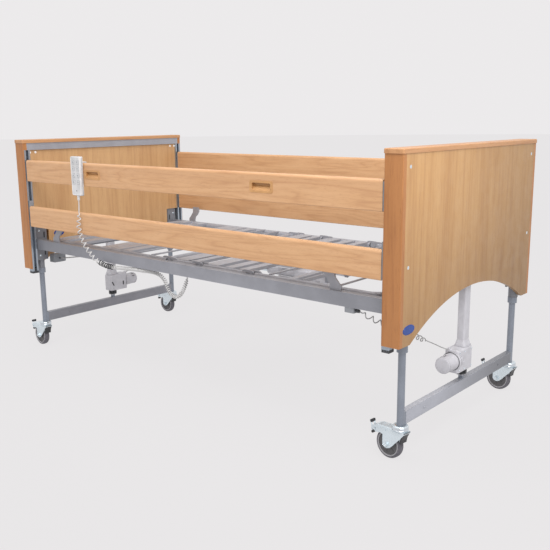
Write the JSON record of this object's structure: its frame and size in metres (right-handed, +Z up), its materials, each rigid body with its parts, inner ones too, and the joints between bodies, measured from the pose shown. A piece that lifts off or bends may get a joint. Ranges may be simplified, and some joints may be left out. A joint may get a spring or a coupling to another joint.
{
  "type": "adjustable hospital bed",
  "caption": "Home-care bed with arched wooden bed ends on telescoping legs, a hinged four-section platform, sliding side rails, casters and a corded handset.",
  "frame": {"origin": "on the floor under the middle of the bed, half way between the outer faces of its two ends", "axes": "+X from the head end to the foot end, +Y from the handset's side to the far side, +Z up"},
  "size_m": [2.3107, 1.051, 1.068],
  "materials": {
    "panel_wood": "satin light oak veneer board",
    "rail_wood": "satin oak edge",
    "guide_aluminium": "natural anodised",
    "black_plastic": "matt black",
    "zinc": "bright zinc plate",
    "grey_tyre": "grey polyurethane",
    "grey_plastic": "grey moulded",
    "cup_plastic": "amber moulded",
    "key_plastic": "soft key",
    "light_plastic": "light grey moulded",
    "grey_paint": "grey powder coat"
  },
  "bodies": {
    "root": {"backrest_drive": "light_plastic", "edge_trims": "rail_wood", "electrical_boxes": "grey_plastic", "foot_end_frame": "grey_paint", "foot_lift_cable": "light_plastic", "foot_panel": "panel_wood", "foot_side_frame": "grey_paint", "frame_screws": "zinc", "guide_feet": "black_plastic", "handset_cord": "light_plastic", "head_end_frame": "grey_paint", "head_lift_cable": "light_plastic", "head_panel": "panel_wood", "head_side_frame": "grey_paint", "inner_panels": "panel_wood", "leg_collars": "grey_plastic", "mattress_retainers": "grey_paint", "rail_guides": "guide_aluminium", "seat_section": "grey_paint", "thigh_drive": "light_plastic"},
    "head_legs": {"head_leg_frame": "grey_paint", "head_lift_motor": "light_plastic"},
    "foot_legs": {"foot_leg_frame": "grey_paint", "foot_lift_motor": "light_plastic"},
    "foot_near_caster": {"foot_near_fork": "zinc"},
    "foot_near_roller": {"foot_near_wheel": "grey_tyre"},
    "foot_near_brake": {"foot_near_pedal": "black_plastic"},
    "foot_far_caster": {"foot_far_fork": "zinc"},
    "foot_far_roller": {"foot_far_wheel": "grey_tyre"},
    "foot_far_brake": {"foot_far_pedal": "black_plastic"},
    "head_near_caster": {"head_near_fork": "zinc"},
    "head_near_roller": {"head_near_wheel": "grey_tyre"},
    "head_near_brake": {"head_near_pedal": "black_plastic"},
    "head_far_caster": {"head_far_fork": "zinc"},
    "head_far_roller": {"head_far_wheel": "grey_tyre"},
    "head_far_brake": {"head_far_pedal": "black_plastic"},
    "backrest": {"backrest_section": "grey_paint"},
    "backrest_pusher": {"backrest_push_rod": "zinc"},
    "thigh": {"thigh_section": "grey_paint"},
    "thigh_puller": {"thigh_push_rod": "zinc"},
    "calf": {"calf_section": "grey_paint"},
    "near_upper": {"near_upper_rail": "rail_wood", "near_handle_cups": "cup_plastic", "near_upper_glides": "grey_plastic", "handset_case": "light_plastic"},
    "near_lower": {"near_lower_rail": "rail_wood", "near_lower_glides": "grey_plastic"},
    "far_upper": {"far_upper_rail": "rail_wood", "far_handle_cups": "cup_plastic", "far_upper_glides": "grey_plastic"},
    "far_lower": {"far_lower_rail": "rail_wood", "far_lower_glides": "grey_plastic"},
    "key_1_left_cap": {"key_1_left": "key_plastic"},
    "key_1_right_cap": {"key_1_right": "key_plastic"},
    "key_2_left_cap": {"key_2_left": "key_plastic"},
    "key_2_right_cap": {"key_2_right": "key_plastic"},
    "key_3_left_cap": {"key_3_left": "key_plastic"},
    "key_3_right_cap": {"key_3_right": "key_plastic"},
    "key_4_left_cap": {"key_4_left": "key_plastic"},
    "key_4_right_cap": {"key_4_right": "key_plastic"}
  },
  "joints": [
    {"name": "head_lift", "type": "slide", "parent": "root", "child": "head_legs", "axis": [0, 0, -1], "range_m": [-0.2, 0.2], "deforming": ["head_lift_cable"]},
    {"name": "foot_lift", "type": "slide", "parent": "root", "child": "foot_legs", "axis": [0, 0, -1], "range_m": [-0.2, 0.2], "deforming": ["foot_lift_cable"]},
    {"name": "foot_near_swivel", "type": "hinge", "parent": "foot_legs", "child": "foot_near_caster", "pos_m": [1.074, -0.439, 0.12], "axis": [0, 0, 1], "continuous": true},
    {"name": "foot_near_roll", "type": "hinge", "parent": "foot_near_caster", "child": "foot_near_roller", "pos_m": [1.03132, -0.43376, 0.053], "axis": [-0.1219, -0.9925, 0], "continuous": true},
    {"name": "foot_near_pedal_tilt", "type": "hinge", "parent": "foot_near_caster", "child": "foot_near_brake", "pos_m": [0.97673, -0.42706, 0.095], "axis": [-0.1219, -0.9925, 0], "range_deg": [-8, 8]},
    {"name": "foot_far_swivel", "type": "hinge", "parent": "foot_legs", "child": "foot_far_caster", "pos_m": [1.074, 0.439, 0.12], "axis": [0, 0, 1], "continuous": true},
    {"name": "foot_far_roll", "type": "hinge", "parent": "foot_far_caster", "child": "foot_far_roller", "pos_m": [1.0311, 0.442, 0.053], "axis": [-0.0698, -0.9976, 0], "continuous": true},
    {"name": "foot_far_pedal_tilt", "type": "hinge", "parent": "foot_far_caster", "child": "foot_far_brake", "pos_m": [0.97624, 0.44584, 0.095], "axis": [-0.0698, -0.9976, 0], "range_deg": [-8, 8]},
    {"name": "head_near_swivel", "type": "hinge", "parent": "head_legs", "child": "head_near_caster", "pos_m": [-1.074, -0.439, 0.12], "axis": [0, 0, 1], "continuous": true},
    {"name": "head_near_roll", "type": "hinge", "parent": "head_near_caster", "child": "head_near_roller", "pos_m": [-1.11694, -0.43675, 0.053], "axis": [-0.0523, -0.9986, 0], "continuous": true},
    {"name": "head_near_pedal_tilt", "type": "hinge", "parent": "head_near_caster", "child": "head_near_brake", "pos_m": [-1.17187, -0.43387, 0.095], "axis": [-0.0523, -0.9986, 0], "range_deg": [-8, 8]},
    {"name": "head_far_swivel", "type": "hinge", "parent": "head_legs", "child": "head_far_caster", "pos_m": [-1.074, 0.439, 0.12], "axis": [0, 0, 1], "continuous": true},
    {"name": "head_far_roll", "type": "hinge", "parent": "head_far_caster", "child": "head_far_roller", "pos_m": [-1.117, 0.439, 0.053], "axis": [0, -1, 0], "continuous": true},
    {"name": "head_far_pedal_tilt", "type": "hinge", "parent": "head_far_caster", "child": "head_far_brake", "pos_m": [-1.172, 0.439, 0.095], "axis": [0, -1, 0], "range_deg": [-8, 8]},
    {"name": "backrest_hinge", "type": "hinge", "parent": "root", "child": "backrest", "pos_m": [-0.08, 0, 0.566], "axis": [0, 1, 0], "range_deg": [0, 70]},
    {"name": "backrest_drive_slide", "type": "slide", "parent": "root", "child": "backrest_pusher", "axis": [-1, 0, 0], "range_m": [0, 0.0895]},
    {"name": "thigh_hinge", "type": "hinge", "parent": "root", "child": "thigh", "pos_m": [0.105, 0, 0.566], "axis": [0, -1, 0], "range_deg": [0, 35]},
    {"name": "thigh_drive_slide", "type": "slide", "parent": "root", "child": "thigh_puller", "axis": [1, 0, 0], "range_m": [0, 0.0404]},
    {"name": "knee_hinge", "type": "hinge", "parent": "thigh", "child": "calf", "pos_m": [0.39, 0, 0.566], "axis": [0, 1, 0], "range_deg": [0, 51.2]},
    {"name": "near_upper_slide", "type": "slide", "parent": "root", "child": "near_upper", "axis": [0, 0, -1], "range_m": [0, 0.309], "deforming": ["handset_cord"]},
    {"name": "near_lower_slide", "type": "slide", "parent": "root", "child": "near_lower", "axis": [0, 0, -1], "range_m": [0, 0.2125]},
    {"name": "far_upper_slide", "type": "slide", "parent": "root", "child": "far_upper", "axis": [0, 0, -1], "range_m": [0, 0.309]},
    {"name": "far_lower_slide", "type": "slide", "parent": "root", "child": "far_lower", "axis": [0, 0, -1], "range_m": [0, 0.2125]},
    {"name": "key_1_left_press", "type": "slide", "parent": "near_upper", "child": "key_1_left_cap", "axis": [0, 1, 0], "range_m": [0, 0.0012], "stiffness_N_per_m": 600},
    {"name": "key_1_right_press", "type": "slide", "parent": "near_upper", "child": "key_1_right_cap", "axis": [0, 1, 0], "range_m": [0, 0.0012], "stiffness_N_per_m": 600},
    {"name": "key_2_left_press", "type": "slide", "parent": "near_upper", "child": "key_2_left_cap", "axis": [0, 1, 0], "range_m": [0, 0.0012], "stiffness_N_per_m": 600},
    {"name": "key_2_right_press", "type": "slide", "parent": "near_upper", "child": "key_2_right_cap", "axis": [0, 1, 0], "range_m": [0, 0.0012], "stiffness_N_per_m": 600},
    {"name": "key_3_left_press", "type": "slide", "parent": "near_upper", "child": "key_3_left_cap", "axis": [0, 1, 0], "range_m": [0, 0.0012], "stiffness_N_per_m": 600},
    {"name": "key_3_right_press", "type": "slide", "parent": "near_upper", "child": "key_3_right_cap", "axis": [0, 1, 0], "range_m": [0, 0.0012], "stiffness_N_per_m": 600},
    {"name": "key_4_left_press", "type": "slide", "parent": "near_upper", "child": "key_4_left_cap", "axis": [0, 1, 0], "range_m": [0, 0.0012], "stiffness_N_per_m": 600},
    {"name": "key_4_right_press", "type": "slide", "parent": "near_upper", "child": "key_4_right_cap", "axis": [0, 1, 0], "range_m": [0, 0.0012], "stiffness_N_per_m": 600}
  ],
  "couplings": [
    {"joint": "foot_lift", "follows": "head_lift", "ratio": 1},
    {"joint": "backrest_drive_slide", "follows": "backrest_hinge", "m_per_rad": 0.073016},
    {"joint": "thigh_drive_slide", "follows": "thigh_hinge", "m_per_rad": 0.065758},
    {"joint": "knee_hinge", "follows": "thigh_hinge", "ratio": 1.457},
    {"joint": "near_lower_slide", "follows": "near_upper_slide", "ratio": 0.686},
    {"joint": "far_lower_slide", "follows": "far_upper_slide", "ratio": 0.686}
  ]
}
